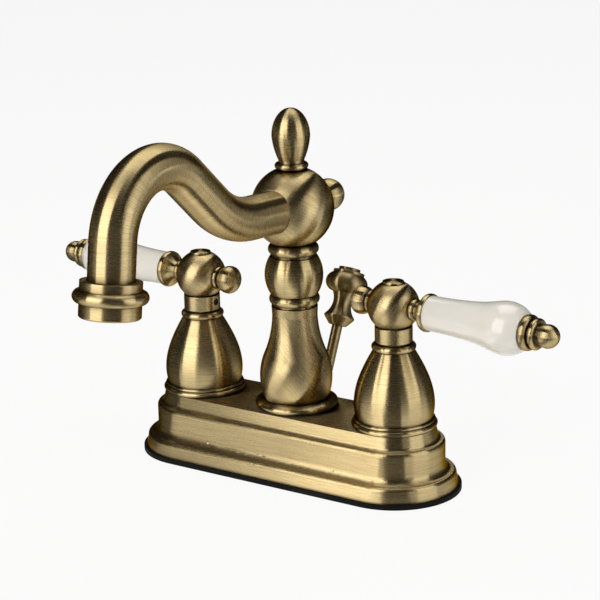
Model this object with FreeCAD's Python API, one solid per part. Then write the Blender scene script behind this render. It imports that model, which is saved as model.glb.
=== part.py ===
import FreeCAD, Part
import math
import os

from FreeCAD import Vector

os.makedirs("parts", exist_ok=True)

# A two-handle centre-set basin mixer. The origin is on the deck under the spout column,
# +X runs to the cold handle, -Y points at the user and +Z is up. Sizes are millimetres and degrees.

# Centres and fits
handle_spacing = 101.6
seat_clearance = 0.05
running_clearance = 0.05
face_gap = 0.05

# Base gasket
gasket_thickness = 2.0
gasket_lip = 1.5
gasket_rod_hole_radius = 5.0
gasket_shank_gap = 0.6

# Base plate: heights of its mouldings from the foot up, and how far each one steps out from the top
plate_foot_height = 0.6
plate_band_height = 4.0
plate_bead_height = 2.0
plate_lower_cove_height = 3.4
plate_face_height = 8.6
plate_shoulder_height = 1.8
plate_upper_cove_height = 1.8
plate_riser_height = 4.2
plate_top_half_width = 17.9
plate_riser_out = 0.9
plate_upper_cove_out = 2.0
plate_shoulder_out = 1.1
plate_lower_cove_out = 3.1
plate_bead_out = 1.7
plate_band_out = 0.7
plate_wall = 2.4
plate_ceiling = 2.8

# Waterway body and inlet shanks
boss_radius = 13.0
boss_lift = 0.6
shank_radius = 10.4
shank_neck_radius = 10.0
shank_bore_radius = 6.5
shank_drop = 52.0
shank_socket_depth = 5.4
boss_web = 1.5
boss_port_radius = 5.0
crossbar_radius = 7.0
crossbar_bore_radius = 4.0
crossbar_height = 16.5
post_radius = 9.0
post_neck_radius = 8.4
riser_socket_depth = 7.0

# Valve cartridges
cartridge_radius = 9.0
chamber_radius = 7.6
seal_thickness = 1.2
seal_bore_radius = 4.6
disc_thickness = 2.3
disc_port_radius = 1.7
disc_port_offset = 3.8
stem_foot_radius = 5.0
stem_foot_height = 2.5
tang_length = 8.0
tang_width = 2.6
tang_depth = 1.2
window_radius = 2.0
cartridge_flange_radius = 12.4
cartridge_flange_height = 2.6
cartridge_neck_radius = 7.2
stem_radius = 4.0
spline_radius = 3.5
spline_length = 12.0
ring_groove_depth = 0.9
ring_groove_width = 1.9
ring_height_in_neck = 20.0

# Bell escutcheons under the handles
bell_foot_radius = 18.6
bell_foot_height = 2.4
bell_step_radius = 17.7
bell_step_height = 1.4
bell_waist_radius = 16.6
bell_belly_radius = 17.35
bell_belly_height = 8.0
bell_hip_radius = 15.3
bell_hip_height = 9.0
bell_shoulder_radius = 8.9
bell_shoulder_height = 13.0
bell_wall = 2.0
bell_ring_radius = 9.6
bell_ring_height = 2.9
bell_ring_gap = 0.9

# Handle hubs
ball_radius = 11.2
neck_radius = 8.1
neck_length = 6.6
ball_drop = 8.7
cap_radius = 4.6
cap_height = 1.4
cap_dome = 0.5
cap_recess = 0.9
cap_moat = 0.5
cap_stub_radius = 2.0
cap_stub_length = 5.0
set_screw_radius = 1.5
set_screw_socket = 0.8
set_screw_sink = 1.0
set_screw_height = 3.8
set_screw_turn = 2.0
lever_rod_radius = 2.0
lever_rod_inner = 6.0
hot_lever_angle = 177.0
cold_lever_angle = -5.0

# Back knobs of the handles
knob_flange_radius = 4.7
knob_flange_thickness = 1.7
knob_flange_round = 0.6
knob_groove_radius = 3.8
knob_groove_width = 0.7
knob_radius = 6.2
knob_length = 8.4
knob_stub_length = 4.6

# Levers, measured along the lever from the ball outwards
collar_neck_radius = 4.1
collar_bead_length = 2.4
collar_bead_rise = 0.7
collar_groove_radius = 3.7
collar_groove_length = 0.7
collar_flare_length = 3.8
collar_rim_radius = 7.8
collar_rim_length = 2.4
collar_rim_round = 0.4
porcelain_root_radius = 7.5
porcelain_shank_radius = 8.1
porcelain_shank_length = 17.2
porcelain_flare_length = 12.0
porcelain_flare_radius = 9.7
porcelain_bulb_radius = 11.0
porcelain_bulb_length = 6.0
porcelain_nose_length = 11.5
porcelain_end_radius = 7.4
end_ring_radius = 7.5
end_ring_length = 3.4
end_groove_radius = 5.2
end_groove_length = 0.8
second_ring_radius = 6.6
second_ring_length = 2.5
end_ball_radius = 4.95
end_ball_neck_radius = 3.9
ring_round = 1.0

# Spout column, from the plate up
foot_ring_radius = 18.3
foot_ring_height = 4.2
foot_ring_round = 1.7
foot_ring_neck_radius = 15.6
foot_ring_neck_height = 0.5
vase_foot_radius = 14.3
vase_belly_radius = 16.0
vase_belly_height = 19.4
vase_hip_radius = 14.2
vase_waist_radius = 9.95
vase_waist_height = 18.5
vase_waist_hollow = 0.95
vase_lip_radius = 10.2
vase_lip_height = 3.9
vase_wall = 2.2
knop_groove_radius = 9.5
knop_groove_height = 1.0
knop_ring_radius = 11.1
knop_ring_height = 4.6
knop_ring_round = 1.5
bulb_radius = 12.8
bulb_height = 16.85
bulb_end_radius = 10.4
riser_radius = 6.5
riser_bore_radius = 4.8
riser_ring_depth = 1.2
riser_ring_width = 2.2
riser_ring_inset = 4.4

# Spout ball with its finial and rear knob
spout_ball_radius = 18.1
spout_ball_seat_radius = 8.9
riser_in_ball = 9.0
finial_seat_radius = 5.4
finial_ring_height = 2.7
finial_ring_round = 1.8
finial_neck_radius = 5.6
finial_neck_height = 1.1
finial_egg_radius = 8.3
finial_egg_lower = 10.4
finial_egg_lower_rise = 0.45
finial_egg_upper = 12.1
fixing_stub_radius = 2.5
fixing_stub_length = 5.0
rear_flange_radius = 4.6
rear_flange_length = 2.2
rear_flange_round = 0.8
rear_neck_radius = 3.7
rear_neck_length = 2.2
rear_knob_radius = 7.2

# Spout tube: a slight rise out of the ball, an upward bend, a slope, then the swan neck down
tube_radius = 9.4
tube_bore_radius = 7.8
tube_start = 9.0
tube_stub_length = 31.0
tube_stub_rise = 3.3
tube_bend_radius = 46.0
tube_slope = 41.8
tube_slope_length = 22.3
tube_neck_radius = 27.5
tube_leg_angle = 82.4
tube_leg_length = 17.4

# Nozzle and aerator at the end of the spout
nozzle_collar_radius = 12.3
nozzle_collar_length = 3.4
nozzle_overlap = 2.4
nozzle_bead_radius = 15.1
nozzle_bead_length = 5.4
aerator_radius = 12.3
aerator_length = 5.6
aerator_chamfer = 0.5
aerator_spigot_radius = 10.6
aerator_spigot_length = 3.6
aerator_mouth_radius = 9.4
aerator_lip = 1.0
aerator_lip_radius = 8.6
insert_length = 4.6
insert_hole_radius = 0.8
insert_hole_pitch = 2.3
insert_ring_count = 3
first_ring_hole_count = 6
washer_thickness = 1.4
washer_bore_radius = 7.0

# Lift rod of the drain, leaning back behind the column
lift_rod_radius = 2.4
lift_rod_lean = 25.0
lift_rod_gap = 0.5
lift_rod_above = 31.0
lift_rod_below = 84.0
lift_rod_in_knob = 9.0
clip_groove_height = 40.0
clip_groove_width = 1.5
clip_groove_depth = 0.5
bush_wall = 1.0
bush_length = 11.0
lift_knob_foot_radius = 4.0
lift_knob_rim_radius = 6.9
lift_knob_cone_height = 3.4
lift_knob_rim_height = 0.8
lift_knob_waist_radius = 5.5
lift_knob_waist_height = 10.8
lift_knob_waist_hollow = 1.9
lift_knob_head_radius = 9.6
lift_knob_head_height = 8.6
lift_knob_crown_radius = 7.1
lift_knob_crown_height = 1.3
lift_knob_button_radius = 4.9
lift_knob_button_height = 1.6
lift_knob_peg_radius = 1.6
lift_knob_peg_length = 4.0

# Places worked out from the sizes above
handle_x = handle_spacing / 2
plate_bottom = gasket_thickness
plate_top = plate_bottom + sum(
    (
        plate_foot_height,
        plate_band_height,
        plate_bead_height,
        plate_lower_cove_height,
        plate_face_height,
        plate_shoulder_height,
        plate_upper_cove_height,
        plate_riser_height,
    )
)
plate_ceiling_z = plate_top - plate_ceiling
boss_bottom = plate_bottom + boss_lift
web_bottom = boss_bottom + shank_socket_depth
web_top = web_bottom + boss_web
fixed_disc_bottom = web_top + seal_thickness
moving_disc_bottom = fixed_disc_bottom + disc_thickness + face_gap
stem_bottom = moving_disc_bottom + disc_thickness
chamber_top = stem_bottom + stem_foot_height + face_gap
bell_top = plate_top + sum(
    (bell_foot_height, bell_step_height, bell_belly_height, bell_hip_height, bell_shoulder_height)
)
cartridge_top = bell_top + bell_ring_height
neck_bottom = cartridge_top + bell_ring_gap
ball_z = neck_bottom + neck_length + ball_drop
column_foot_top = plate_top + foot_ring_height
vase_top = column_foot_top + vase_belly_height + vase_waist_height + vase_lip_height
knop_height = 2 * knop_groove_height + 2 * knop_ring_height + bulb_height
knop_top = vase_top + knop_height
spout_ball_z = knop_top + math.sqrt(spout_ball_radius**2 - spout_ball_seat_radius**2)
lift_angle = math.radians(lift_rod_lean)
foot_ring_middle = plate_top + foot_ring_height / 2
lift_rod_y_at_ring = foot_ring_radius + lift_rod_gap + lift_rod_radius / math.cos(lift_angle)
lift_rod_y_at_plate = lift_rod_y_at_ring - (foot_ring_middle - plate_top) * math.tan(lift_angle)
handle_sides = (("hot", -handle_x, hot_lever_angle), ("cold", handle_x, cold_lever_angle))


# Helpers for turned pieces, round holes and placing

OVER = "leaves upright and ends level"
OUT = "leaves level and ends upright"
STRAIGHT = 0.0


def point_between(start, end, rise):
    """Middle of an arc from start to end that stands rise to the right of the chord."""
    along = end - start
    side = Vector(along.z, 0, -along.x).normalize()
    return (start + end) * 0.5 + side * rise


def quarter_oval(start, end, leaves_upright):
    """A quarter of an upright oval, tangent to the axis at one end and square to it at the other."""
    pull = 4 / 3 * (math.sqrt(2) - 1)
    rise = Vector(0, 0, end.z - start.z) * pull
    reach = Vector(end.x - start.x, 0, 0) * pull
    first, second = (rise, reach) if leaves_upright else (reach, rise)
    curve = Part.BezierCurve()
    curve.setPoles([start, start + first, end - second, end])
    return curve.toShape()


def outline_edges(steps):
    """Edges through (radius, height) steps. A third entry shapes the stretch that leads there:
    a number bows it by that much, and OVER or OUT makes it a quarter oval."""
    edges = []
    last = Vector(steps[0][0], 0, steps[0][1])
    for step in steps[1:]:
        here = Vector(step[0], 0, step[1])
        shape = step[2] if len(step) == 3 else STRAIGHT
        if shape in (OVER, OUT):
            edges.append(quarter_oval(last, here, shape == OVER))
        elif shape:
            edges.append(Part.Arc(last, point_between(last, here, shape), here).toShape())
        else:
            edges.append(Part.makeLine(last, here))
        last = here
    return edges


def outline_face(steps):
    """Closed face in the XZ plane from (radius, height) steps."""
    return Part.Face(Part.Wire(outline_edges(list(steps) + [steps[0][:2]])))


def turned(*steps):
    """Solid of revolution about the Z axis."""
    return outline_face(steps).revolve(Vector(0, 0, 0), Vector(0, 0, 1), 360)


def rod(radius, bottom, top, x=0.0, y=0.0):
    """Upright round bar."""
    return Part.makeCylinder(radius, top - bottom, Vector(x, y, bottom))


def ring(outer, inner, bottom, top):
    """Upright plain ring."""
    return rod(outer, bottom, top).cut(rod(inner, bottom, top))


def along_x(shape):
    """Turn a piece made on the Z axis so that its axis runs along +X."""
    turned_shape = shape.copy()
    turned_shape.rotate(Vector(0, 0, 0), Vector(0, 1, 0), 90)
    return turned_shape


def moved(shape, x, y, z):
    """Copy of a piece, shifted."""
    shifted = shape.copy()
    shifted.translate(Vector(x, y, z))
    return shifted


def lifted_to_ball(shape):
    """Copy of a lever piece, raised to the height of the handle's ball."""
    return moved(shape, 0, 0, ball_z)


def in_place(shape, side):
    """Copy of a handle piece made on the Z axis, set on its side of the faucet."""
    placed = shape.copy()
    placed.rotate(Vector(0, 0, 0), Vector(0, 0, 1), side[2])
    placed.translate(Vector(side[1], 0, 0))
    return placed


def on_lift_axis(shape):
    """Copy of a piece made on the Z axis, leant back along the lift rod with z 0 at the plate top."""
    leant = shape.copy()
    leant.rotate(Vector(0, 0, 0), Vector(1, 0, 0), -lift_rod_lean)
    leant.translate(Vector(0, lift_rod_y_at_plate, plate_top))
    return leant


def save(name, shape):
    """Write one node."""
    shape.exportStep(os.path.join("parts", name + ".step"))


# Base: gasket, plate and waterway


def stadium(steps):
    """Solid with rounded ends about the two handle axes, from a half outline that touches the axis."""
    face = outline_face(steps)
    half_turn = face.copy()
    half_turn.rotate(Vector(0, 0, 0), Vector(0, 0, 1), -90)
    end = half_turn.revolve(Vector(0, 0, 0), Vector(0, 0, 1), 180)
    far_end = end.copy()
    far_end.rotate(Vector(0, 0, 0), Vector(0, 0, 1), 180)
    quarter = half_turn.copy()
    quarter.translate(Vector(-handle_x, 0, 0))
    front = quarter.extrude(Vector(handle_spacing, 0, 0))
    back = front.copy()
    back.rotate(Vector(0, 0, 0), Vector(0, 0, 1), 180)
    pieces = [front, back, moved(end, handle_x, 0, 0), moved(far_end, -handle_x, 0, 0)]
    return pieces[0].multiFuse(pieces[1:]).removeSplitter()


def plate_outline():
    """Half outline of the plate's mouldings, from the top centre out and down."""
    radius = plate_top_half_width
    height = plate_top
    steps = [(0, plate_bottom), (0, height), (radius, height)]
    stretches = (
        (plate_riser_out, plate_riser_height, STRAIGHT),
        (plate_upper_cove_out, plate_upper_cove_height, OVER),
        (plate_shoulder_out, plate_shoulder_height, OUT),
        (0.0, plate_face_height, STRAIGHT),
        (plate_lower_cove_out, plate_lower_cove_height, OVER),
        (plate_bead_out, plate_bead_height, OUT),
        (plate_band_out, plate_band_height, STRAIGHT),
        (0.0, plate_foot_height, STRAIGHT),
    )
    for out, down, shape in stretches:
        radius += out
        height -= down
        steps.append((radius, height, shape))
    return steps


def cavity_outline():
    """Half outline of the hollow under the plate, stepped to follow its wall."""
    face_radius = (
        plate_top_half_width + plate_riser_out + plate_upper_cove_out + plate_shoulder_out
    )
    foot_radius = face_radius + plate_lower_cove_out - plate_wall
    foot_top = plate_bottom + plate_foot_height + plate_band_height
    face_top = foot_top + plate_bead_height + plate_lower_cove_height + plate_face_height
    top_radius = plate_top_half_width - plate_wall
    return [
        (0, plate_bottom),
        (0, plate_ceiling_z),
        (top_radius, plate_ceiling_z),
        (top_radius, face_top),
        (face_radius - plate_wall, face_top),
        (face_radius - plate_wall, foot_top),
        (foot_radius, foot_top),
        (foot_radius, plate_bottom),
    ]


def foot_radius():
    """Half width of the plate at the gasket."""
    return plate_outline()[-1][0]


def base_gasket():
    half_width = foot_radius() + gasket_lip
    blank = stadium([(0, 0), (0, gasket_thickness), (half_width, gasket_thickness), (half_width, 0)])
    rod_y = lift_rod_y_at_plate - (plate_top - gasket_thickness / 2) * math.tan(lift_angle)
    holes = [rod(gasket_rod_hole_radius, 0, gasket_thickness, 0, rod_y)]
    for side in handle_sides:
        holes.append(rod(shank_radius + gasket_shank_gap, 0, gasket_thickness, side[1]))
    return blank.cut(holes)


def lift_bush_envelope(radius):
    """Leaning bar about the lift rod, long enough to pass the plate's top and its hollow."""
    return on_lift_axis(rod(radius, -bush_length, plate_riser_height))


def base_plate(envelope):
    holes = [
        stadium(cavity_outline()),
        rod(post_neck_radius + seat_clearance, plate_ceiling_z, plate_top),
        lift_bush_envelope(lift_rod_radius + running_clearance + bush_wall + seat_clearance),
    ]
    for side in handle_sides:
        holes.append(rod(cartridge_radius + seat_clearance, plate_ceiling_z, plate_top, side[1]))
    return envelope.cut(holes)


def lift_rod_bush(envelope):
    bore = lift_rod_radius + running_clearance
    tube = lift_bush_envelope(bore + bush_wall).cut(lift_bush_envelope(bore))
    return tube.common(envelope)


def valve_body():
    crossbar = moved(along_x(rod(crossbar_radius, 0, handle_spacing)), -handle_x, 0, crossbar_height)
    channel = moved(along_x(rod(crossbar_bore_radius, 0, handle_spacing)), -handle_x, 0, crossbar_height)
    riser_floor = plate_top - riser_socket_depth
    solids = [
        rod(post_radius, crossbar_height, plate_ceiling_z),
        rod(post_neck_radius, crossbar_height, plate_top),
    ]
    holes = [
        channel,
        rod(riser_bore_radius, crossbar_height, plate_top),
        rod(riser_radius + seat_clearance, riser_floor, plate_top),
    ]
    for side in handle_sides:
        solids.append(rod(boss_radius, boss_bottom, plate_ceiling_z, side[1]))
        holes.append(rod(shank_neck_radius + seat_clearance, boss_bottom, web_bottom, side[1]))
        holes.append(rod(boss_port_radius, web_bottom, web_top, side[1]))
        holes.append(rod(cartridge_radius + seat_clearance, web_top, plate_ceiling_z, side[1]))
    return crossbar.multiFuse(solids).cut(holes).removeSplitter()


def inlet_shank(side):
    threaded = rod(shank_radius, -shank_drop, 0, side[1])
    outer = threaded.fuse(rod(shank_neck_radius, 0, web_bottom, side[1]))
    return outer.cut(rod(shank_bore_radius, -shank_drop, web_bottom, side[1]))


# Valve cartridge of one handle, made on the Z axis


def cartridge_body():
    flange_top = plate_top + cartridge_flange_height
    body = rod(cartridge_radius, web_top, plate_top).multiFuse(
        [
            rod(cartridge_flange_radius, plate_top, flange_top),
            rod(cartridge_neck_radius, flange_top, cartridge_top),
        ]
    )
    window = along_x(rod(window_radius, -cartridge_radius, cartridge_radius))
    holes = [
        rod(chamber_radius + running_clearance, web_top, chamber_top),
        rod(stem_radius + running_clearance, chamber_top, cartridge_top),
        moved(window, 0, 0, crossbar_height),
    ]
    return body.cut(holes).removeSplitter()


def seat_seal():
    return ring(chamber_radius, seal_bore_radius, web_top, fixed_disc_bottom)


def disc_with_ports(bottom):
    top = bottom + disc_thickness
    ports = [rod(disc_port_radius, bottom, top, turn * disc_port_offset) for turn in (-1, 1)]
    return rod(chamber_radius, bottom, top).cut(ports)


def drive_tang(clearance):
    """Flat key that joins the stem to the moving disc."""
    length = tang_length + 2 * clearance
    width = tang_width + 2 * clearance
    depth = tang_depth + clearance
    return Part.makeBox(length, width, depth, Vector(-length / 2, -width / 2, stem_bottom - depth))


def moving_disc():
    disc = disc_with_ports(moving_disc_bottom)
    disc.rotate(Vector(0, 0, 0), Vector(0, 0, 1), 90)
    return disc.cut(drive_tang(seat_clearance))


def ring_groove():
    middle = chamber_top + ring_height_in_neck
    low = middle - ring_groove_width / 2
    return ring(stem_radius, stem_radius - ring_groove_depth, low, low + ring_groove_width)


def valve_stem():
    solids = [
        drive_tang(0.0),
        rod(stem_radius, stem_bottom, neck_bottom - face_gap),
        rod(spline_radius, neck_bottom - face_gap, neck_bottom + spline_length),
    ]
    foot = rod(stem_foot_radius, stem_bottom, stem_bottom + stem_foot_height)
    return foot.multiFuse(solids).cut(ring_groove()).removeSplitter()


def stem_o_ring():
    return ring_groove()


# Bell escutcheon and its lock ring


def smooth_edge(points):
    """Smooth curve through (radius, height) points."""
    curve = Part.BSplineCurve()
    curve.interpolate([Vector(radius, 0, height) for radius, height in points])
    return curve.toShape()


bell_foot_top = plate_top + bell_foot_height
bell_step_top = bell_foot_top + bell_step_height


def bell_curve(inset, top):
    """Flank of the bell from its waist to its shoulder, drawn in by the inset."""
    belly_z = bell_step_top + bell_belly_height
    return smooth_edge(
        (
            (bell_waist_radius - inset, bell_step_top),
            (bell_belly_radius - inset, belly_z),
            (bell_hip_radius - inset, belly_z + bell_hip_height),
            (bell_shoulder_radius - inset, top),
        )
    )


def turned_bell(lower_steps, inset, top):
    """Bell with straight-sided steps below and the smooth flank above."""
    lower = outline_edges(lower_steps)
    roof = Part.makeLine(Vector(bell_shoulder_radius - inset, 0, top), Vector(0, 0, top))
    spine = Part.makeLine(Vector(0, 0, top), Vector(0, 0, plate_top))
    face = Part.Face(Part.Wire(lower + [bell_curve(inset, top), roof, spine]))
    return face.revolve(Vector(0, 0, 0), Vector(0, 0, 1), 360)


def escutcheon():
    foot_edge = bell_foot_radius - bell_foot_height / 2
    step_edge = bell_step_radius - bell_step_height / 2
    outer_steps = (
        (0, plate_top),
        (foot_edge, plate_top),
        (foot_edge, bell_foot_top, bell_foot_height / 2),
        (step_edge, bell_foot_top),
        (step_edge, bell_step_top, bell_step_height / 2),
        (bell_waist_radius, bell_step_top),
    )
    inner_waist = bell_waist_radius - bell_wall
    inner_steps = ((0, plate_top), (inner_waist, plate_top), (inner_waist, bell_step_top))
    ceiling = bell_top - bell_wall
    outer = turned_bell(outer_steps, 0.0, bell_top)
    hollow = turned_bell(inner_steps, bell_wall, ceiling)
    return outer.cut([hollow, rod(cartridge_neck_radius + seat_clearance, bell_step_top, bell_top)])


def escutcheon_ring():
    rim = bell_ring_radius - ring_round
    blank = turned(
        (0, bell_top),
        (rim, bell_top),
        (rim, cartridge_top, ring_round),
        (0, cartridge_top),
    )
    return blank.cut(rod(cartridge_neck_radius + seat_clearance, bell_top, cartridge_top))


# Handle hub and the pieces fixed in it


def seat_on_ball(radius, seat_radius):
    """Distance from a ball's centre to the flat spot of a given radius cut on it."""
    return math.sqrt(radius**2 - seat_radius**2)


cap_seat = seat_on_ball(ball_radius, cap_radius + cap_moat)
knob_seat = seat_on_ball(ball_radius, knob_flange_radius)
collar_seat = seat_on_ball(ball_radius, collar_neck_radius)


def lever_hole(radius, start, end):
    """Round hole along the lever axis of the hub, from start to end."""
    return lifted_to_ball(along_x(rod(radius, start, end)))


def set_screw_bar(radius, start, end):
    """Round bar across the neck, turned a little from the back knob."""
    bar = moved(along_x(rod(radius, -end, -start)), 0, 0, neck_bottom + set_screw_height)
    bar.rotate(Vector(0, 0, 0), Vector(0, 0, 1), set_screw_turn)
    return bar


def handle_hub():
    ball = Part.makeSphere(ball_radius, Vector(0, 0, ball_z))
    body = ball.fuse(rod(neck_radius, neck_bottom, neck_bottom + neck_length))
    outside = 2 * ball_radius
    stub = cap_stub_radius + seat_clearance
    holes = [
        rod(spline_radius + seat_clearance, neck_bottom, neck_bottom + spline_length + face_gap),
        rod(cap_radius + cap_moat, ball_z + cap_seat, ball_z + outside),
        rod(cap_radius + seat_clearance, ball_z + cap_seat - cap_recess, ball_z + outside),
        rod(stub, ball_z + cap_seat - cap_recess - cap_stub_length - face_gap, ball_z + outside),
        lever_hole(collar_neck_radius + seat_clearance, collar_seat, outside),
        lever_hole(lever_rod_radius + seat_clearance, lever_rod_inner - face_gap, outside),
        lever_hole(knob_flange_radius + seat_clearance, -outside, -knob_seat),
        lever_hole(stub, -knob_seat, -knob_seat + knob_stub_length + face_gap),
        set_screw_bar(set_screw_radius + seat_clearance, 0, outside),
    ]
    return body.cut(holes).removeSplitter()


def handle_cap():
    bottom = ball_z + cap_seat - cap_recess
    top = bottom + cap_recess + cap_height
    button = turned((0, bottom), (cap_radius, bottom), (cap_radius, top - cap_dome), (0, top, OVER))
    return button.fuse(rod(cap_stub_radius, bottom - cap_stub_length, bottom)).removeSplitter()


def set_screw():
    start = spline_radius + seat_clearance
    end = neck_radius - set_screw_sink
    socket = set_screw_bar(set_screw_socket, (start + end) / 2, end)
    return set_screw_bar(set_screw_radius, start, end).cut(socket)


def back_knob():
    flange_end = knob_seat + knob_flange_thickness
    groove_end = flange_end + knob_groove_width
    middle = groove_end + knob_length / 2
    blank = turned(
        (0, knob_seat - knob_stub_length),
        (cap_stub_radius, knob_seat - knob_stub_length),
        (cap_stub_radius, knob_seat),
        (knob_flange_radius, knob_seat),
        (knob_flange_radius, flange_end, knob_flange_round),
        (knob_groove_radius, flange_end),
        (knob_groove_radius, groove_end),
        (knob_radius, middle, OUT),
        (0, groove_end + knob_length, OVER),
    )
    knob = along_x(blank)
    knob.rotate(Vector(0, 0, 0), Vector(0, 0, 1), 180)
    return lifted_to_ball(knob)


# Lever: collar, porcelain grip, end finial and the rod that pulls them together

collar_end = (
    collar_seat
    + collar_bead_length
    + collar_groove_length
    + collar_flare_length
    + collar_rim_length
)
porcelain_end = (
    collar_end
    + porcelain_shank_length
    + porcelain_flare_length
    + porcelain_bulb_length
    + porcelain_nose_length
)
finial_groove_start = porcelain_end + end_ring_length
second_ring_start = finial_groove_start + end_groove_length
second_groove_start = second_ring_start + second_ring_length
end_ball_start = second_groove_start + end_groove_length
lever_rod_end = second_ring_start


def lever_collar():
    bead_end = collar_seat + collar_bead_length
    flare_start = bead_end + collar_groove_length
    rim_start = flare_start + collar_flare_length
    blank = turned(
        (0, collar_seat),
        (collar_neck_radius, collar_seat),
        (collar_neck_radius, bead_end, collar_bead_rise),
        (collar_groove_radius, bead_end),
        (collar_groove_radius, flare_start),
        (collar_rim_radius, rim_start, -collar_bead_rise),
        (collar_rim_radius, collar_end, collar_rim_round),
        (0, collar_end),
    )
    bore = rod(lever_rod_radius + seat_clearance, collar_seat, collar_end)
    return lifted_to_ball(along_x(blank.cut(bore)))


def porcelain_curve():
    """Smooth outline of the grip: a slim shank that swells to a bulb and draws in to the end."""
    shank_end = collar_end + porcelain_shank_length
    flare_end = shank_end + porcelain_flare_length
    bulb = flare_end + porcelain_bulb_length
    return smooth_edge(
        (
            (porcelain_root_radius, collar_end),
            (porcelain_shank_radius, shank_end),
            (porcelain_flare_radius, flare_end),
            (porcelain_bulb_radius, bulb),
            (porcelain_end_radius, porcelain_end),
        )
    )


def porcelain_lever():
    foot = Part.makeLine(Vector(0, 0, collar_end), Vector(porcelain_root_radius, 0, collar_end))
    head = Part.makeLine(Vector(porcelain_end_radius, 0, porcelain_end), Vector(0, 0, porcelain_end))
    spine = Part.makeLine(Vector(0, 0, porcelain_end), Vector(0, 0, collar_end))
    face = Part.Face(Part.Wire([foot, porcelain_curve(), head, spine]))
    blank = face.revolve(Vector(0, 0, 0), Vector(0, 0, 1), 360)
    bore = rod(lever_rod_radius + seat_clearance, collar_end, porcelain_end)
    return lifted_to_ball(along_x(blank.cut(bore)))


def lever_finial():
    ball_middle = end_ball_start + math.sqrt(end_ball_radius**2 - end_ball_neck_radius**2)
    blank = turned(
        (0, porcelain_end),
        (end_ring_radius - ring_round, porcelain_end),
        (end_ring_radius - ring_round, finial_groove_start, ring_round),
        (end_groove_radius, finial_groove_start),
        (end_groove_radius, second_ring_start),
        (second_ring_radius - ring_round, second_ring_start),
        (second_ring_radius - ring_round, second_groove_start, ring_round),
        (end_ball_neck_radius, second_groove_start),
        (end_ball_neck_radius, end_ball_start),
        (0, end_ball_start),
    )
    ball = Part.makeSphere(end_ball_radius, Vector(0, 0, ball_middle))
    ball = ball.cut(rod(end_ball_radius, end_ball_start - end_ball_radius, end_ball_start))
    solid = blank.fuse(ball).removeSplitter()
    bore = rod(lever_rod_radius + seat_clearance, porcelain_end, lever_rod_end + face_gap)
    return lifted_to_ball(along_x(solid.cut(bore)))


def lever_rod():
    return lever_hole(lever_rod_radius, lever_rod_inner, lever_rod_end)


# Spout column


def column_foot_ring():
    edge = foot_ring_radius - foot_ring_round
    bead_start = plate_top + foot_ring_neck_height
    bead_middle = bead_start + foot_ring_round
    blank = turned(
        (0, plate_top),
        (foot_ring_neck_radius, plate_top),
        (foot_ring_neck_radius, bead_start),
        (edge, bead_start),
        (foot_ring_radius, bead_middle, OUT),
        (vase_foot_radius, column_foot_top, OVER),
        (0, column_foot_top),
    )
    return blank.cut(rod(riser_radius + seat_clearance, plate_top, column_foot_top))


def column_vase():
    belly_top = column_foot_top + vase_belly_height
    waist_z = belly_top + vase_waist_height
    foot_middle = (vase_foot_radius + vase_hip_radius) / 2
    blank = turned(
        (0, column_foot_top),
        (vase_foot_radius, column_foot_top),
        (vase_hip_radius, belly_top, vase_belly_radius - foot_middle),
        (vase_waist_radius, waist_z, -vase_waist_hollow),
        (vase_lip_radius, vase_top),
        (0, vase_top),
    )
    hollow = turned(
        (0, column_foot_top),
        (vase_foot_radius - vase_wall, column_foot_top),
        (vase_hip_radius - vase_wall, belly_top),
        (riser_radius + seat_clearance, waist_z),
        (0, waist_z),
    )
    return blank.cut([hollow, rod(riser_radius + seat_clearance, column_foot_top, vase_top)])


def column_knop():
    edge = knop_ring_radius - knop_ring_round
    first_ring = vase_top + knop_groove_height
    bulb_start = first_ring + knop_ring_height
    bulb_end = bulb_start + bulb_height
    second_ring = bulb_end + knop_groove_height
    blank = turned(
        (0, vase_top),
        (knop_groove_radius, vase_top),
        (knop_groove_radius, first_ring),
        (edge, first_ring),
        (edge, bulb_start, knop_ring_round),
        (bulb_end_radius, bulb_start),
        (bulb_end_radius, bulb_end, bulb_radius - bulb_end_radius),
        (knop_groove_radius, bulb_end),
        (knop_groove_radius, second_ring),
        (edge, second_ring),
        (edge, knop_top, knop_ring_round),
        (0, knop_top),
    )
    return blank.cut(rod(riser_radius + seat_clearance, vase_top, knop_top))


riser_bottom = plate_top - riser_socket_depth
riser_top = knop_top + riser_in_ball


def riser_grooves():
    """Two seal grooves near the ends of the riser."""
    inner = riser_radius - riser_ring_depth
    heights = (plate_top - riser_ring_inset, knop_top + riser_in_ball - riser_ring_inset)
    return [ring(riser_radius, inner, z, z + riser_ring_width) for z in heights]


def spout_riser():
    tube = ring(riser_radius, riser_bore_radius, riser_bottom, riser_top)
    return tube.cut(riser_grooves())


def riser_o_rings():
    return Part.makeCompound(riser_grooves())


# Spout: ball, tube, finial and rear knob


def tube_path():
    """Stretches of the spout's centre line as (kind, start, heading, amount), in the YZ plane."""
    rise = math.radians(tube_stub_rise)
    slope = math.radians(tube_slope)
    fall = -math.radians(tube_leg_angle)
    return (
        ("run", tube_stub_length - tube_start, rise, rise),
        ("bend", tube_bend_radius, rise, slope),
        ("run", tube_slope_length, slope, slope),
        ("bend", tube_neck_radius, slope, fall),
        ("run", tube_leg_length, fall, fall),
    )


def heading_vector(angle):
    """Forward direction at an angle above the level, towards the user."""
    return Vector(0, -math.cos(angle), math.sin(angle))


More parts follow.
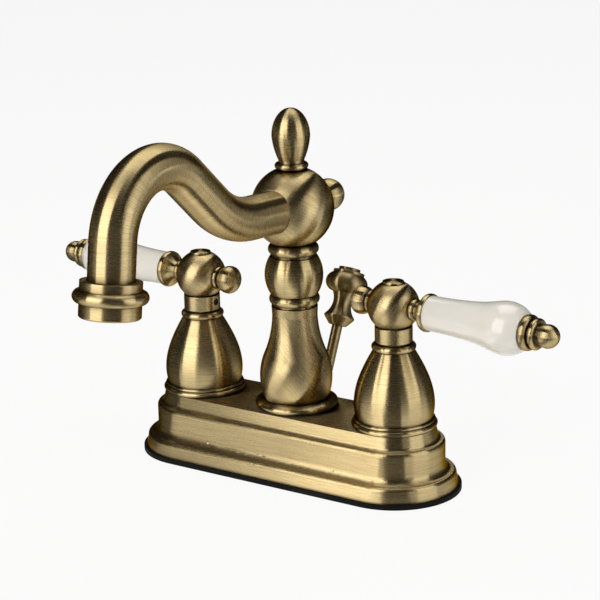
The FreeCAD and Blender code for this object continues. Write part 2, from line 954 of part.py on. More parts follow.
def tube_along_path(radius):
    """Round bar that follows the spout's centre line, with the end point and direction of its leg."""
    here = Vector(0, 0, spout_ball_z) + heading_vector(math.radians(tube_stub_rise)) * tube_start
    pieces = []
    for kind, amount, start, end in tube_path():
        ahead = heading_vector(start)
        if kind == "run":
            pieces.append(Part.makeCylinder(radius, amount, here, ahead))
            here = here + ahead * amount
        else:
            turn = 1 if end > start else -1
            centre = here + Vector(0, math.sin(start), math.cos(start)) * (turn * amount)
            disc = Part.Face(Part.Wire(Part.makeCircle(radius, here, ahead)))
            swing = math.degrees(end - start)
            pieces.append(disc.revolve(centre, Vector(-1, 0, 0), swing))
            arm = here - centre
            turned_arm = FreeCAD.Rotation(Vector(-1, 0, 0), swing).multVec(arm)
            here = centre + turned_arm
    return pieces[0].multiFuse(pieces[1:]).removeSplitter(), here


leg_heading = heading_vector(-math.radians(tube_leg_angle))
tube_solid, tube_end = tube_along_path(tube_radius)
tube_hollow = tube_along_path(tube_bore_radius)[0]


def spout_tube():
    return tube_solid.cut(tube_hollow)


def spout_ball():
    centre = Vector(0, 0, spout_ball_z)
    socket_heading = heading_vector(math.radians(tube_stub_rise))
    finial_seat = spout_ball_z + seat_on_ball(spout_ball_radius, finial_seat_radius)
    rear_spot = Vector(0, seat_on_ball(spout_ball_radius, rear_flange_radius), spout_ball_z)
    outside = 2 * spout_ball_radius
    stub = fixing_stub_radius + seat_clearance
    stub_depth = fixing_stub_length + face_gap
    mouth = Part.makeCylinder(
        tube_radius + seat_clearance, outside, centre + socket_heading * tube_start, socket_heading
    )
    holes = [
        rod(spout_ball_seat_radius, knop_top - outside, knop_top),
        rod(riser_radius + seat_clearance, knop_top, riser_top + face_gap),
        rod(riser_bore_radius, knop_top, spout_ball_z),
        mouth,
        Part.makeCylinder(tube_bore_radius, tube_start, centre, socket_heading),
        rod(finial_seat_radius, finial_seat, finial_seat + outside),
        rod(stub, finial_seat - stub_depth, finial_seat),
        Part.makeCylinder(rear_flange_radius, outside, rear_spot, Vector(0, 1, 0)),
        Part.makeCylinder(stub, stub_depth, rear_spot, Vector(0, -1, 0)),
    ]
    return Part.makeSphere(spout_ball_radius, centre).cut(holes).removeSplitter()


def spout_finial():
    seat = spout_ball_z + seat_on_ball(spout_ball_radius, finial_seat_radius)
    ring_top = seat + finial_ring_height
    neck_top = ring_top + finial_neck_height
    egg_middle = neck_top + finial_egg_lower
    return turned(
        (0, seat - fixing_stub_length),
        (fixing_stub_radius, seat - fixing_stub_length),
        (fixing_stub_radius, seat),
        (finial_seat_radius, seat),
        (finial_neck_radius, ring_top, finial_ring_round),
        (finial_neck_radius, neck_top),
        (finial_egg_radius, egg_middle, finial_egg_lower_rise),
        (0, egg_middle + finial_egg_upper, OVER),
    )


def spout_rear_knob():
    seat = seat_on_ball(spout_ball_radius, rear_flange_radius)
    flange_end = seat + rear_flange_length
    neck_end = flange_end + rear_neck_length
    ball_middle = neck_end + seat_on_ball(rear_knob_radius, rear_neck_radius)
    stem = turned(
        (0, seat - fixing_stub_length),
        (fixing_stub_radius, seat - fixing_stub_length),
        (fixing_stub_radius, seat),
        (rear_flange_radius, seat),
        (rear_flange_radius, flange_end, rear_flange_round),
        (rear_neck_radius, flange_end),
        (rear_neck_radius, ball_middle),
        (0, ball_middle),
    )
    knob = stem.fuse(Part.makeSphere(rear_knob_radius, Vector(0, 0, ball_middle))).removeSplitter()
    knob.rotate(Vector(0, 0, 0), Vector(1, 0, 0), -90)
    return moved(knob, 0, 0, spout_ball_z)


# Nozzle and aerator, made on the Z axis with z 0 at the tube's end and +Z up the leg


def on_leg(shape):
    """Copy of an outlet piece, set on the end of the spout's leg."""
    placed = shape.copy()
    placed.rotate(Vector(0, 0, 0), Vector(1, 0, 0), tube_leg_angle - 90)
    placed.translate(tube_end)
    return placed


bead_top = nozzle_overlap - nozzle_collar_length
bead_bottom = bead_top - nozzle_bead_length
aerator_bottom = bead_bottom - aerator_length
spigot_top = bead_bottom + aerator_spigot_length
insert_top = aerator_bottom + aerator_lip + insert_length


def spout_nozzle():
    bead_round = nozzle_bead_radius - nozzle_collar_radius
    blank = turned(
        (0, bead_bottom),
        (nozzle_collar_radius, bead_bottom),
        (nozzle_collar_radius, bead_top, min(bead_round, nozzle_bead_length / 2)),
        (nozzle_collar_radius, nozzle_overlap),
        (0, nozzle_overlap),
    )
    holes = [
        rod(tube_radius + seat_clearance, 0, nozzle_overlap),
        rod(tube_bore_radius, bead_bottom, 0),
        rod(aerator_spigot_radius + seat_clearance, bead_bottom, spigot_top + washer_thickness),
    ]
    return on_leg(blank.cut(holes))


def aerator_shell():
    blank = turned(
        (0, aerator_bottom),
        (aerator_radius - aerator_chamfer, aerator_bottom),
        (aerator_radius, aerator_bottom + aerator_chamfer),
        (aerator_radius, bead_bottom),
        (aerator_spigot_radius, bead_bottom),
        (aerator_spigot_radius, spigot_top),
        (0, spigot_top),
    )
    holes = [
        rod(aerator_mouth_radius + seat_clearance, aerator_bottom + aerator_lip, spigot_top),
        rod(aerator_lip_radius, aerator_bottom, spigot_top),
    ]
    return on_leg(blank.cut(holes))


def aerator_insert():
    low = aerator_bottom + aerator_lip
    holes = [rod(insert_hole_radius, low, insert_top)]
    for ring_number in range(1, insert_ring_count + 1):
        count = first_ring_hole_count * ring_number
        for turn in range(count):
            angle = 2 * math.pi * turn / count
            reach = insert_hole_pitch * ring_number
            holes.append(
                rod(insert_hole_radius, low, insert_top, reach * math.cos(angle), reach * math.sin(angle))
            )
    return on_leg(rod(aerator_mouth_radius, low, insert_top).cut(holes))


def aerator_washer():
    washer_top = spigot_top + washer_thickness
    return on_leg(ring(aerator_spigot_radius, washer_bore_radius, spigot_top, washer_top))


# Lift rod and its knob, made on the Z axis with z 0 at the plate top

lift_knob_rim_z = lift_rod_above + lift_knob_cone_height
lift_knob_waist_z = lift_knob_rim_z + lift_knob_rim_height
lift_knob_head_z = lift_knob_waist_z + lift_knob_waist_height
lift_knob_crown_z = lift_knob_head_z + lift_knob_head_height
lift_knob_button_z = lift_knob_crown_z + lift_knob_crown_height


def lift_rod():
    bar = rod(lift_rod_radius, -lift_rod_below, lift_rod_above + lift_rod_in_knob)
    low = clip_groove_height - lift_rod_below
    groove = ring(lift_rod_radius, lift_rod_radius - clip_groove_depth, low, low + clip_groove_width)
    return on_lift_axis(bar.cut(groove))


def lift_knob():
    head_middle = (lift_knob_waist_radius + lift_knob_crown_radius) / 2
    blank = turned(
        (0, lift_rod_above),
        (lift_knob_foot_radius, lift_rod_above),
        (lift_knob_rim_radius, lift_knob_rim_z),
        (lift_knob_rim_radius, lift_knob_waist_z),
        (lift_knob_waist_radius, lift_knob_head_z, -lift_knob_waist_hollow),
        (lift_knob_crown_radius, lift_knob_crown_z, lift_knob_head_radius - head_middle),
        (0, lift_knob_crown_z),
    )
    socket_top = lift_rod_above + lift_rod_in_knob + face_gap
    peg_bottom = lift_knob_crown_z - lift_knob_peg_length
    holes = [
        rod(lift_rod_radius + seat_clearance, lift_rod_above, socket_top),
        rod(lift_knob_peg_radius + seat_clearance, peg_bottom, lift_knob_crown_z),
    ]
    return on_lift_axis(blank.cut(holes))


def lift_knob_crown():
    top = lift_knob_button_z + lift_knob_button_height
    discs = rod(lift_knob_crown_radius, lift_knob_crown_z, lift_knob_button_z).multiFuse(
        [
            rod(lift_knob_button_radius, lift_knob_button_z, top),
            rod(lift_knob_peg_radius, lift_knob_crown_z - lift_knob_peg_length, lift_knob_crown_z),
        ]
    )
    return on_lift_axis(discs.removeSplitter())


# Build every node

plate_envelope = stadium(plate_outline())

fixed_pieces = {
    "base_gasket": base_gasket(),
    "base_plate": base_plate(plate_envelope),
    "valve_body": valve_body(),
    "spout_riser": spout_riser(),
    "riser_o_rings": riser_o_rings(),
    "column_foot_ring": column_foot_ring(),
    "column_vase": column_vase(),
    "column_knop": column_knop(),
    "spout_ball": spout_ball(),
    "spout_tube": spout_tube(),
    "spout_finial": spout_finial(),
    "spout_rear_knob": spout_rear_knob(),
    "spout_nozzle": spout_nozzle(),
    "aerator_shell": aerator_shell(),
    "aerator_insert": aerator_insert(),
    "aerator_washer": aerator_washer(),
    "lift_rod_bush": lift_rod_bush(plate_envelope),
    "lift_rod": lift_rod(),
    "lift_knob": lift_knob(),
    "lift_knob_crown": lift_knob_crown(),
}
for name, shape in fixed_pieces.items():
    save(name, shape)

handle_pieces = {
    "cartridge_body": cartridge_body(),
    "seat_seal": seat_seal(),
    "fixed_disc": disc_with_ports(fixed_disc_bottom),
    "escutcheon": escutcheon(),
    "escutcheon_ring": escutcheon_ring(),
    "moving_disc": moving_disc(),
    "valve_stem": valve_stem(),
    "stem_o_ring": stem_o_ring(),
    "handle_hub": handle_hub(),
    "handle_cap": handle_cap(),
    "set_screw": set_screw(),
    "back_knob": back_knob(),
    "lever_collar": lever_collar(),
    "porcelain_lever": porcelain_lever(),
    "lever_finial": lever_finial(),
    "lever_rod": lever_rod(),
}
for side in handle_sides:
    save(side[0] + "_inlet_shank", inlet_shank(side))
    for name, shape in handle_pieces.items():
        save(side[0] + "_" + name, in_place(shape, side))
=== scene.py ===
import math

import bpy
from mathutils import Matrix, Vector

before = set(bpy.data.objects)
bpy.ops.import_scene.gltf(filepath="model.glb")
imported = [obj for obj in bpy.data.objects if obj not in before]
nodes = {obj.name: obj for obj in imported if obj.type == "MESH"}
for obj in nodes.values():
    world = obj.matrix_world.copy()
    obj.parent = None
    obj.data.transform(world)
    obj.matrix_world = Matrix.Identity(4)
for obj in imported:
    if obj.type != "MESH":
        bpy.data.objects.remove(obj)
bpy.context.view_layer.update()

# Directions of the turned pieces, in the frame of the CAD, in metres and degrees
UP = Vector((0, 0, 1))
ACROSS = Vector((1, 0, 0))
BACK = Vector((0, 1, 0))
hot_lever_angle = 177.0
cold_lever_angle = -5.0
lift_rod_lean = 25.0
spout_leg_angle = 82.4

# Brush marks that run aslant: how far their axis leans from the upright, and which way
ball_brush_tilt = 35.0
vase_brush_tilt = 50.0
brush_lean_across = 0.8
brush_lean_back = 0.6

# Centre line of the spout tube, as it is in the CAD
spout_ball_height = 0.11852
tube_stub_length = 0.031
tube_stub_rise = 3.3
tube_bend_radius = 0.046
tube_slope = 41.8
tube_slope_length = 0.0223
tube_neck_radius = 0.0275
tube_leg_length = 0.0174

# Brush marks: how many to the metre, how much longer they are along the grain, the share of each kind, and their bump
fine_grain = 2600.0
broad_grain = 520.0
grain_stretch = 24.0
fine_share = 0.65
broad_share = 0.35
scratch_strength = 0.004

# Age of the brass: how far grooves hold patina and painted shade and how dull it is, how round edges look and how far
# they are rubbed
groove_shade_reach = 0.0035
patina_roughness = 0.20
edge_radius = 0.0005
usual_edge_wear = 0.55
look_samples = 6

# Depth of the bump in metal, rubber and plastic skins, and in the glaze, in metres
skin_depth = 0.0002
glaze_depth = 0.0006

# Colour sockets of the mix node, by number, because other kinds of socket there have the same names
MIX_FIRST = 6
MIX_SECOND = 7
MIX_RESULT = 2

# Camera
camera_azimuth = 34.59
camera_elevation = 15.89
camera_roll = -1.27
camera_distance = 0.9087
camera_right = 0.00075
camera_up = 0.07366
camera_lens = 121.85
camera_sensor = 36.0

# Studio: metres, shares of full white, and glow
aim_height = 0.07
floor_size = 40.0
floor_glow = 0.91
handle_reach = 0.0508
plate_reach = 0.034
card_far = 2.0
card_lift = 0.001
card_steps = 16
fade_start = 0.10
fade_end = 0.35
rise_start = -0.02
rise_end = 0.025
lamp_tint = (1.0, 0.99, 0.97)
room_strength = 0.03


# Node helpers


def add_node(tree, kind, **settings):
    """New shader node with some of its properties set."""
    made = tree.nodes.new(kind)
    for name, value in settings.items():
        setattr(made, name, value)
    return made


def feed(tree, socket, value):
    """Link an output to a socket, or set the socket to a plain value."""
    if isinstance(value, bpy.types.NodeSocket):
        tree.links.new(value, socket)
    else:
        socket.default_value = value


def maths(tree, operation, first, second=0.0, clamp=False):
    made = add_node(tree, "ShaderNodeMath", operation=operation, use_clamp=clamp)
    feed(tree, made.inputs[0], first)
    feed(tree, made.inputs[1], second)
    return made.outputs[0]


def vector_maths(tree, operation, first, second):
    made = add_node(tree, "ShaderNodeVectorMath", operation=operation)
    feed(tree, made.inputs[0], first)
    feed(tree, made.inputs[1], second)
    return made.outputs["Value" if operation in ("DOT_PRODUCT", "DISTANCE") else "Vector"]


def scaled(tree, vector, scale):
    made = add_node(tree, "ShaderNodeVectorMath", operation="SCALE")
    feed(tree, made.inputs[0], vector)
    feed(tree, made.inputs["Scale"], scale)
    return made.outputs["Vector"]


def spread(tree, value, low, high, new_low=0.0, new_high=1.0):
    """Map a range of a value onto another range, held at its ends."""
    made = add_node(tree, "ShaderNodeMapRange")
    feed(tree, made.inputs["Value"], value)
    feed(tree, made.inputs["From Min"], low)
    feed(tree, made.inputs["From Max"], high)
    feed(tree, made.inputs["To Min"], new_low)
    feed(tree, made.inputs["To Max"], new_high)
    return made.outputs["Result"]


def mixed(tree, factor, first, second):
    """Blend of two colours."""
    made = add_node(tree, "ShaderNodeMix", data_type="RGBA")
    feed(tree, made.inputs["Factor"], factor)
    feed(tree, made.inputs[MIX_FIRST], first)
    feed(tree, made.inputs[MIX_SECOND], second)
    return made.outputs[MIX_RESULT]


def noise(tree, vector, scale, detail=3.0, roughness=0.55):
    made = add_node(tree, "ShaderNodeTexNoise")
    feed(tree, made.inputs["Vector"], vector)
    made.inputs["Scale"].default_value = scale
    made.inputs["Detail"].default_value = detail
    made.inputs["Roughness"].default_value = roughness
    return made.outputs["Fac"]


def place(tree):
    """Position in the CAD's frame."""
    return add_node(tree, "ShaderNodeTexCoord").outputs["Object"]


def surface_normal(tree):
    return add_node(tree, "ShaderNodeNewGeometry").outputs["Normal"]


def bumped(tree, height, strength, distance):
    made = add_node(tree, "ShaderNodeBump")
    made.inputs["Strength"].default_value = strength
    made.inputs["Distance"].default_value = distance
    feed(tree, made.inputs["Height"], height)
    return made.outputs["Normal"]


def new_material(name):
    """Empty material with one shader, as (material, tree, shader)."""
    material = bpy.data.materials.new(name)
    material.use_nodes = True
    tree = material.node_tree
    tree.nodes.clear()
    shader = add_node(tree, "ShaderNodeBsdfPrincipled")
    output = add_node(tree, "ShaderNodeOutputMaterial")
    tree.links.new(shader.outputs["BSDF"], output.inputs["Surface"])
    return material, tree, shader


def rgb(red, green, blue):
    return (red, green, blue, 1.0)


# Brush marks: each gives the position in the grain and the direction in which it smears a reflection


def constant(tree, vector):
    """A direction as an output."""
    made = add_node(tree, "ShaderNodeCombineXYZ")
    for name, value in zip("XYZ", vector):
        made.inputs[name].default_value = value
    return made.outputs["Vector"]


def marks_around(axis):
    """Marks that run round an axis, as a lathe leaves them."""

    def build(tree):
        where = place(tree)
        along = scaled(tree, tuple(axis), vector_maths(tree, "DOT_PRODUCT", where, tuple(axis)))
        rest = vector_maths(tree, "SUBTRACT", where, along)
        grain = vector_maths(tree, "ADD", along, scaled(tree, rest, 1 / grain_stretch))
        return grain, constant(tree, axis)

    return build


def marks_on_plate(tree):
    """Marks that run level round the mouldings and straight along the flat top."""
    split = add_node(tree, "ShaderNodeSeparateXYZ")
    feed(tree, split.inputs[0], surface_normal(tree))
    top = spread(tree, split.outputs["Z"], low=0.85, high=0.95)
    shrink = add_node(tree, "ShaderNodeCombineXYZ")
    shrink.inputs["X"].default_value = 1 / grain_stretch
    feed(tree, shrink.inputs["Y"], spread(tree, top, 0.0, 1.0, new_low=1 / grain_stretch, new_high=1.0))
    shrink.inputs["Z"].default_value = 1.0
    grain = vector_maths(tree, "MULTIPLY", place(tree), shrink.outputs["Vector"])
    return grain, vector_maths(tree, "ADD", constant(tree, UP), scaled(tree, tuple(BACK), top))


def heading(angle):
    """Direction at an angle above the level, towards the user."""
    turn = math.radians(angle)
    return Vector((0, -math.cos(turn), math.sin(turn)))


def run_distance(tree, where, start, ahead, length):
    """How far along a straight stretch a point lies."""
    out = vector_maths(tree, "SUBTRACT", where, tuple(start))
    past = vector_maths(tree, "DOT_PRODUCT", out, tuple(ahead))
    return spread(tree, past, 0.0, length, 0.0, length)


def bend_distance(tree, where, centre, arm, ahead, radius, turn):
    """How far round a bend a point lies."""
    out = vector_maths(tree, "SUBTRACT", where, tuple(centre))
    over = vector_maths(tree, "DOT_PRODUCT", out, tuple(ahead))
    level = vector_maths(tree, "DOT_PRODUCT", out, tuple(arm))
    angle = maths(tree, "ARCTAN2", over, level)
    return spread(tree, angle, 0.0, turn, 0.0, radius * turn)


def marks_round_tube(tree):
    """Marks that run round the spout tube all the way along its bends."""
    where = place(tree)
    here = Vector((0, 0, spout_ball_height))
    total = 0.0
    stretches = (
        (tube_stub_length, tube_stub_rise, tube_stub_rise),
        (tube_bend_radius, tube_stub_rise, tube_slope),
        (tube_slope_length, tube_slope, tube_slope),
        (tube_neck_radius, tube_slope, -spout_leg_angle),
        (tube_leg_length, -spout_leg_angle, -spout_leg_angle),
    )
    for size, start, end in stretches:
        ahead = heading(start)
        if start == end:
            passed = run_distance(tree, where, here, ahead, size)
            here = here + ahead * size
        else:
            side = 1 if end > start else -1
            inward = heading(start + 90 * side)
            centre = here + inward * size
            turn = math.radians(abs(end - start))
            passed = bend_distance(tree, where, centre, -inward, ahead, size, turn)
            here = centre - heading(end + 90 * side) * size
        total = maths(tree, "ADD", total, passed)
    line = add_node(tree, "ShaderNodeCombineXYZ")
    feed(tree, line.inputs["X"], total)
    grain = vector_maths(tree, "ADD", line.outputs["Vector"], scaled(tree, where, 1 / grain_stretch))
    return grain, vector_maths(tree, "CROSS_PRODUCT", surface_normal(tree), tuple(ACROSS))


# Materials

brass_bright = rgb(0.64, 0.52, 0.29)
brass_deep = rgb(0.40, 0.29, 0.125)
# Dark brown of the patina, also used for the painted shade in grooves and seams
brass_patina_shade = rgb(0.045, 0.027, 0.010)
brass_edge = rgb(0.74, 0.62, 0.37)
brass_rim = rgb(0.28, 0.18, 0.08)
bare_brass_dull = rgb(0.62, 0.44, 0.17)
bare_brass_bright = rgb(0.78, 0.60, 0.28)
bare_brass_tarnish = rgb(0.36, 0.24, 0.10)
porcelain_warm = rgb(0.92, 0.875, 0.79)
porcelain_pale = rgb(0.95, 0.915, 0.845)
porcelain_speck = rgb(0.70, 0.64, 0.53)
disc_grey = rgb(0.80, 0.79, 0.75)
disc_white = rgb(0.88, 0.87, 0.84)
steel_dark = rgb(0.12, 0.11, 0.10)
steel_light = rgb(0.30, 0.29, 0.27)


def antique_brass(name, marks, tarnish=0.0, groove_patina_and_shade=1.0, edge_wear=usual_edge_wear):
    """Brushed brass, darkened in its grooves and at seams between parts: partly brown patina, partly painted shade.
    Where edges wear, they look round and lighter.
    """
    material, tree, shader = new_material(name)
    grain, smear = marks(tree)
    feed(tree, shader.inputs["Tangent"], smear)
    shader.inputs["Anisotropic"].default_value = 1.0
    shader.inputs["Specular Tint"].default_value = brass_rim
    shader.inputs["Metallic"].default_value = 1.0
    fine = noise(tree, grain, fine_grain, detail=4.0, roughness=0.65)
    broad = noise(tree, grain, broad_grain, detail=3.0, roughness=0.6)
    fine_part = maths(tree, "MULTIPLY", fine, fine_share)
    streak = maths(tree, "ADD", fine_part, maths(tree, "MULTIPLY", broad, broad_share))
    brushed = mixed(tree, spread(tree, streak, low=0.17, high=0.83), brass_deep, brass_bright)

    # Painted shade: ambient occlusion darkens grooves and seams between parts towards the patina colour, on top of the
    # real patina of the hollows
    groove_shade = add_node(tree, "ShaderNodeAmbientOcclusion", samples=look_samples)
    groove_shade.inputs["Distance"].default_value = groove_shade_reach
    shelter_shade = spread(tree, groove_shade.outputs["AO"], low=0.90, high=0.45)
    cloud = noise(tree, place(tree), scale=46.0)
    uneven = spread(tree, cloud, 0.30, 0.70, new_low=0.75 * groove_patina_and_shade, new_high=groove_patina_and_shade)
    patina_and_shade = maths(tree, "MAXIMUM", maths(tree, "MULTIPLY", shelter_shade, uneven), tarnish)
    aged = mixed(tree, patina_and_shade, brushed, brass_patina_shade)

    scratches = bumped(tree, streak, scratch_strength, skin_depth)
    if edge_wear:
        rounded = add_node(tree, "ShaderNodeBevel", samples=look_samples)
        rounded.inputs["Radius"].default_value = edge_radius
        turned = vector_maths(tree, "DOT_PRODUCT", rounded.outputs["Normal"], surface_normal(tree))
        open_to_touch = maths(tree, "SUBTRACT", 1.0, shelter_shade, clamp=True)
        edge = maths(tree, "MULTIPLY", spread(tree, turned, low=0.985, high=0.90), open_to_touch)
        aged = mixed(tree, maths(tree, "MULTIPLY", edge, edge_wear), aged, brass_edge)
        feed(tree, scratches.node.inputs["Normal"], rounded.outputs["Normal"])
    feed(tree, shader.inputs["Base Color"], aged)
    feed(tree, shader.inputs["Normal"], scratches)

    polish = spread(tree, streak, 0.30, 0.70, new_low=0.31, new_high=0.23)
    dullness = maths(tree, "MULTIPLY", patina_and_shade, patina_roughness)
    feed(tree, shader.inputs["Roughness"], maths(tree, "ADD", polish, dullness))
    return material


def machined_brass():
    """Bare brass of the waterway, with turning marks and a faint tarnish."""
    material, tree, shader = new_material("machined_brass")
    fine = noise(tree, marks_around(UP)(tree)[0], scale=1800.0)
    tarnish = spread(tree, noise(tree, place(tree), scale=90.0, detail=4.0), low=0.45, high=0.75)
    bright = mixed(tree, fine, bare_brass_dull, bare_brass_bright)
    feed(tree, shader.inputs["Base Color"], mixed(tree, tarnish, bright, bare_brass_tarnish))
    feed(tree, shader.inputs["Roughness"], spread(tree, fine, 0.3, 0.7, new_low=0.42, new_high=0.28))
    feed(tree, shader.inputs["Normal"], bumped(tree, fine, 0.15, skin_depth))
    shader.inputs["Metallic"].default_value = 1.0
    return material


def ivory_porcelain():
    """Glazed ivory porcelain: faint cloudiness under a clear gloss that isn't quite flat."""
    material, tree, shader = new_material("ivory_porcelain")
    where = place(tree)
    cloud = spread(tree, noise(tree, where, scale=60.0), low=0.30, high=0.70)
    speck = spread(tree, noise(tree, where, scale=1500.0, detail=2.0), 0.70, 0.80, new_high=0.35)
    body = mixed(tree, cloud, porcelain_warm, porcelain_pale)
    gloss = spread(tree, noise(tree, where, scale=220.0), 0.3, 0.7, new_low=0.16, new_high=0.22)
    feed(tree, shader.inputs["Base Color"], mixed(tree, speck, body, porcelain_speck))
    feed(tree, shader.inputs["Roughness"], gloss)
    ripple = bumped(tree, noise(tree, where, scale=130.0, detail=2.0), 0.06, glaze_depth)
    feed(tree, shader.inputs["Normal"], ripple)
    feed(tree, shader.inputs["Coat Normal"], ripple)
    shader.inputs["Coat Weight"].default_value = 0.6
    shader.inputs["Coat Roughness"].default_value = 0.05
    shader.inputs["Subsurface Weight"].default_value = 0.12
    shader.inputs["Subsurface Radius"].default_value = (0.9, 0.7, 0.45)
    shader.inputs["Subsurface Scale"].default_value = 0.002
    return material


def lapped_ceramic():
    """Hard white ceramic of the valve discs, finely lapped."""
    material, tree, shader = new_material("lapped_ceramic")
    grit = noise(tree, place(tree), scale=2400.0)
    feed(tree, shader.inputs["Base Color"], mixed(tree, grit, disc_grey, disc_white))
    feed(tree, shader.inputs["Roughness"], spread(tree, grit, 0.3, 0.7, new_low=0.32, new_high=0.46))
    return material


def moulded(name, dark, light, smooth, rough, grit, shine=0.5):
    """Moulded rubber or plastic with a fine uneven skin."""
    material, tree, shader = new_material(name)
    where = place(tree)
    skin = noise(tree, where, scale=grit, detail=4.0, roughness=0.6)
    patch = noise(tree, where, scale=80.0, detail=2.0)
    feed(tree, shader.inputs["Base Color"], mixed(tree, maths(tree, "MULTIPLY", skin, patch), dark, light))
    feed(tree, shader.inputs["Roughness"], spread(tree, skin, 0.3, 0.7, new_low=smooth, new_high=rough))
    feed(tree, shader.inputs["Normal"], bumped(tree, skin, 0.25, skin_depth))
    shader.inputs["Specular IOR Level"].default_value = shine
    return material


def screw_steel():
    """Plain steel of the set screws and lever rods."""
    material, tree, shader = new_material("screw_steel")
    fine = noise(tree, marks_around(ACROSS)(tree)[0], scale=2200.0)
    feed(tree, shader.inputs["Base Color"], mixed(tree, fine, steel_dark, steel_light))
    feed(tree, shader.inputs["Roughness"], spread(tree, fine, 0.3, 0.7, new_low=0.50, new_high=0.34))
    shader.inputs["Metallic"].default_value = 1.0
    return material


def tilted(tilt):
    """An axis leant sideways from the upright, for marks that run aslant."""
    turn = math.radians(tilt)
    lean = math.sin(turn)
    return Vector((lean * brush_lean_across, lean * brush_lean_back, math.cos(turn)))


def lever_axis(angle):
    turn = math.radians(angle)
    return Vector((math.cos(turn), math.sin(turn), 0))


def lift_axis():
    turn = math.radians(lift_rod_lean)
    return Vector((0, math.sin(turn), math.cos(turn)))


def dress(material, *names):
    """Give a material to CAD nodes."""
    for name in names:
        for holder in nodes[name].material_slots:
            holder.material = material


def both_sides(*names):
    return [side + "_" + name for side in ("hot", "cold") for name in names]


dress(
    antique_brass("antique_brass_upright", marks_around(UP)),
    "column_foot_ring",
    "column_knop",
    "spout_finial",
    *both_sides("escutcheon", "escutcheon_ring", "handle_cap"),
)
dress(antique_brass("antique_brass_vase", marks_around(tilted(vase_brush_tilt))), "column_vase")
dress(
    antique_brass("antique_brass_balls", marks_around(tilted(ball_brush_tilt))),
    "spout_ball",
    *both_sides("handle_hub"),
)
dress(
    antique_brass("antique_brass_plate", marks_on_plate, groove_patina_and_shade=0.6, edge_wear=0.0),
    "base_plate",
)
dress(antique_brass("antique_brass_tube", marks_round_tube), "spout_tube")
dress(antique_brass("antique_brass_rear", marks_around(BACK)), "spout_rear_knob")
dress(
    antique_brass("antique_brass_outlet", marks_around(heading(-spout_leg_angle))),
    "spout_nozzle",
    "aerator_shell",
)
dress(
    antique_brass("antique_brass_lift", marks_around(lift_axis()), tarnish=0.3),
    "lift_rod",
    "lift_knob",
    "lift_knob_crown",
)
for side, angle in (("hot", hot_lever_angle), ("cold", cold_lever_angle)):
    dress(
        antique_brass("antique_brass_lever_" + side, marks_around(lever_axis(angle))),
        side + "_back_knob",
        side + "_lever_collar",
        side + "_lever_finial",
    )
dress(
    machined_brass(),
    "valve_body",
    "spout_riser",
    *both_sides("inlet_shank", "cartridge_body", "valve_stem"),
)
dress(ivory_porcelain(), *both_sides("porcelain_lever"))
dress(lapped_ceramic(), *both_sides("fixed_disc", "moving_disc"))
dress(
    moulded(
        "black_gasket",
        dark=rgb(0.003, 0.003, 0.003),
        light=rgb(0.012, 0.012, 0.011),
        smooth=0.62,
        rough=0.80,
        grit=1400.0,
        shine=0.12,
    ),
    "base_gasket",
)
dress(
    moulded(
        "seal_rubber",
        dark=rgb(0.012, 0.012, 0.012),
        light=rgb(0.06, 0.06, 0.058),
        smooth=0.60,
        rough=0.75,
        grit=1800.0,
    ),
    "riser_o_rings",
    "aerator_washer",
    *both_sides("seat_seal", "stem_o_ring"),
)
dress(
    moulded(
        "outlet_plastic",
        dark=rgb(0.62, 0.62, 0.60),
        light=rgb(0.86, 0.86, 0.84),
        smooth=0.40,
        rough=0.55,
        grit=1200.0,
    ),
    "aerator_insert",
)
dress(
    moulded(
        "bush_plastic",
        dark=rgb(0.03, 0.026, 0.022),
        light=rgb(0.12, 0.105, 0.09),
        smooth=0.45,
        rough=0.60,
        grit=1200.0,
    ),
    "lift_rod_bush",
)
dress(screw_steel(), *both_sides("set_screw", "lever_rod"))


# Studio: pale floor, cards on it, soft boxes and a dim room


def pale_floor():
    """White floor that shows as a plain white ground and still takes a soft shadow."""
    material = bpy.data.materials.new("pale_floor")
    material.use_nodes = True
    tree = material.node_tree
    tree.nodes.clear()
    paint = add_node(tree, "ShaderNodeBsdfDiffuse")
    paint.inputs["Color"].default_value = rgb(0.90, 0.90, 0.895)
    glow = add_node(tree, "ShaderNodeEmission")
    glow.inputs["Color"].default_value = rgb(1.0, 1.0, 1.0)
    path = add_node(tree, "ShaderNodeLightPath")
    seen = maths(tree, "MAXIMUM", path.outputs["Is Camera Ray"], path.outputs["Is Glossy Ray"])
    seen = maths(tree, "MAXIMUM", seen, path.outputs["Is Transmission Ray"])
    blend = add_node(tree, "ShaderNodeMixShader")
    feed(tree, blend.inputs["Fac"], maths(tree, "MULTIPLY", seen, floor_glow))
    tree.links.new(paint.outputs["BSDF"], blend.inputs[1])
    tree.links.new(glow.outputs["Emission"], blend.inputs[2])
    output = add_node(tree, "ShaderNodeOutputMaterial")
    tree.links.new(blend.outputs["Shader"], output.inputs["Surface"])
    bpy.ops.mesh.primitive_plane_add(size=floor_size, location=(0, 0, 0))
    floor = bpy.context.object
    floor.name = "floor"
    floor.data.materials.append(material)


def fading(centre, near_glow):
    """Glow that dies away from a point on the X axis."""

    def build(tree):
        away = vector_maths(tree, "DISTANCE", place(tree), (centre, 0, 0))
        return spread(tree, away, fade_start, fade_end, near_glow, 0.0)

    return build


def rising(left_glow, right_glow):
    """Glow that grows from left to right across the middle of the base."""

    def build(tree):
        split = add_node(tree, "ShaderNodeSeparateXYZ")
        feed(tree, split.inputs[0], place(tree))
        return spread(tree, split.outputs["X"], rise_start, rise_end, left_glow, right_glow)

    return build


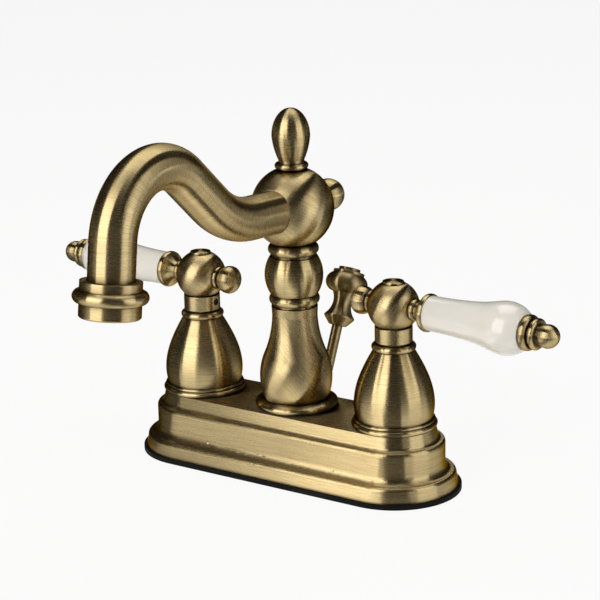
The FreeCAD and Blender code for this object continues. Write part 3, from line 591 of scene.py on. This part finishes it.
def floor_card(name, centre, first, last, inner, outer, glow):
    """Card on the floor about a point on the X axis, that only shows in reflections."""
    corners = []
    faces = []
    for step in range(card_steps + 1):
        turn = math.radians(first + (last - first) * step / card_steps)
        for reach in (inner, outer):
            corners.append((centre + reach * math.sin(turn), -reach * math.cos(turn), card_lift))
    for step in range(card_steps):
        low = 2 * step
        faces.append((low, low + 1, low + 3, low + 2))
    mesh = bpy.data.meshes.new(name)
    mesh.from_pydata(corners, [], faces)
    material, tree, shader = new_material(name)
    shader.inputs["Base Color"].default_value = rgb(0.03, 0.028, 0.026)
    shader.inputs["Roughness"].default_value = 0.9
    shader.inputs["Emission Color"].default_value = rgb(1.0, 0.985, 0.95)
    feed(tree, shader.inputs["Emission Strength"], glow(tree))
    mesh.materials.append(material)
    card = bpy.data.objects.new(name, mesh)
    bpy.context.scene.collection.objects.link(card)
    card.visible_camera = False
    card.visible_shadow = False
    card.visible_diffuse = False


def around(azimuth, elevation, distance):
    """A point round the object. Azimuth 0 is in front, 90 is to the right."""
    turn = math.radians(azimuth)
    rise = math.radians(elevation)
    flat = distance * math.cos(rise)
    height = distance * math.sin(rise) + aim_height
    return Vector((flat * math.sin(turn), -flat * math.cos(turn), height))


def soft_box(name, azimuth, elevation, distance, width, height, radiance):
    """Rectangular soft light of an even brightness, facing the object."""
    lamp = bpy.data.lights.new(name, "AREA")
    lamp.shape = "RECTANGLE"
    lamp.size = width
    lamp.size_y = height
    lamp.energy = radiance * math.pi * width * height
    lamp.color = lamp_tint
    holder = bpy.data.objects.new(name, lamp)
    bpy.context.scene.collection.objects.link(holder)
    holder.location = around(azimuth, elevation, distance)
    aim = Vector((0, 0, aim_height)) - holder.location
    holder.rotation_euler = aim.to_track_quat("-Z", "Y").to_euler()


def dim_room():
    world = bpy.data.worlds.new("room")
    bpy.context.scene.world = world
    world.use_nodes = True
    background = world.node_tree.nodes["Background"]
    background.inputs["Color"].default_value = rgb(1.0, 0.92, 0.80)
    background.inputs["Strength"].default_value = room_strength


def photo_camera():
    """Camera where the photograph was taken from."""
    turn = math.radians(camera_azimuth)
    rise = math.radians(camera_elevation)
    roll = math.radians(camera_roll)
    flat = math.cos(rise)
    back = Vector((math.sin(turn) * flat, -math.cos(turn) * flat, math.sin(rise)))
    right = Vector((math.cos(turn), math.sin(turn), 0))
    up = back.cross(right)
    rolled_right = right * math.cos(roll) + up * math.sin(roll)
    rolled_up = up * math.cos(roll) - right * math.sin(roll)
    spot = back * camera_distance + rolled_right * camera_right + rolled_up * camera_up
    data = bpy.data.cameras.new("camera")
    data.sensor_width = camera_sensor
    data.lens = camera_lens
    holder = bpy.data.objects.new("camera", data)
    bpy.context.scene.collection.objects.link(holder)
    turned = Matrix((rolled_right, rolled_up, back)).transposed()
    holder.matrix_world = Matrix.Translation(spot) @ turned.to_4x4()
    bpy.context.scene.camera = holder


pale_floor()
floor_card(
    "card_front",
    centre=handle_reach,
    first=-50.0,
    last=1.0,
    inner=plate_reach,
    outer=0.16,
    glow=rising(left_glow=0.80, right_glow=1.6),
)
floor_card(
    "flag_front_near",
    centre=handle_reach,
    first=2.0,
    last=50.0,
    inner=plate_reach,
    outer=0.25,
    glow=fading(handle_reach, near_glow=0.12),
)
floor_card(
    "flag_front_far",
    centre=handle_reach,
    first=2.0,
    last=72.0,
    inner=0.25,
    outer=card_far,
    glow=fading(handle_reach, near_glow=0.0),
)
floor_card(
    "flag_left",
    centre=-handle_reach,
    first=-40.0,
    last=-120.0,
    inner=plate_reach,
    outer=card_far,
    glow=fading(-handle_reach, near_glow=0.15),
)
floor_card(
    "flag_back",
    centre=0.0,
    first=125.0,
    last=235.0,
    inner=0.13,
    outer=card_far,
    glow=fading(0.0, near_glow=0.25),
)
soft_box("key_box", azimuth=-13.0, elevation=24.0, distance=1.3, width=1.04, height=1.25, radiance=3.0)
soft_box("side_box", azimuth=92.0, elevation=20.0, distance=0.65, width=0.44, height=0.55, radiance=1.5)
soft_box("top_box", azimuth=200.0, elevation=72.0, distance=1.3, width=1.1, height=1.1, radiance=2.0)
dim_room()
photo_camera()
bpy.context.scene.view_settings.view_transform = "Standard"
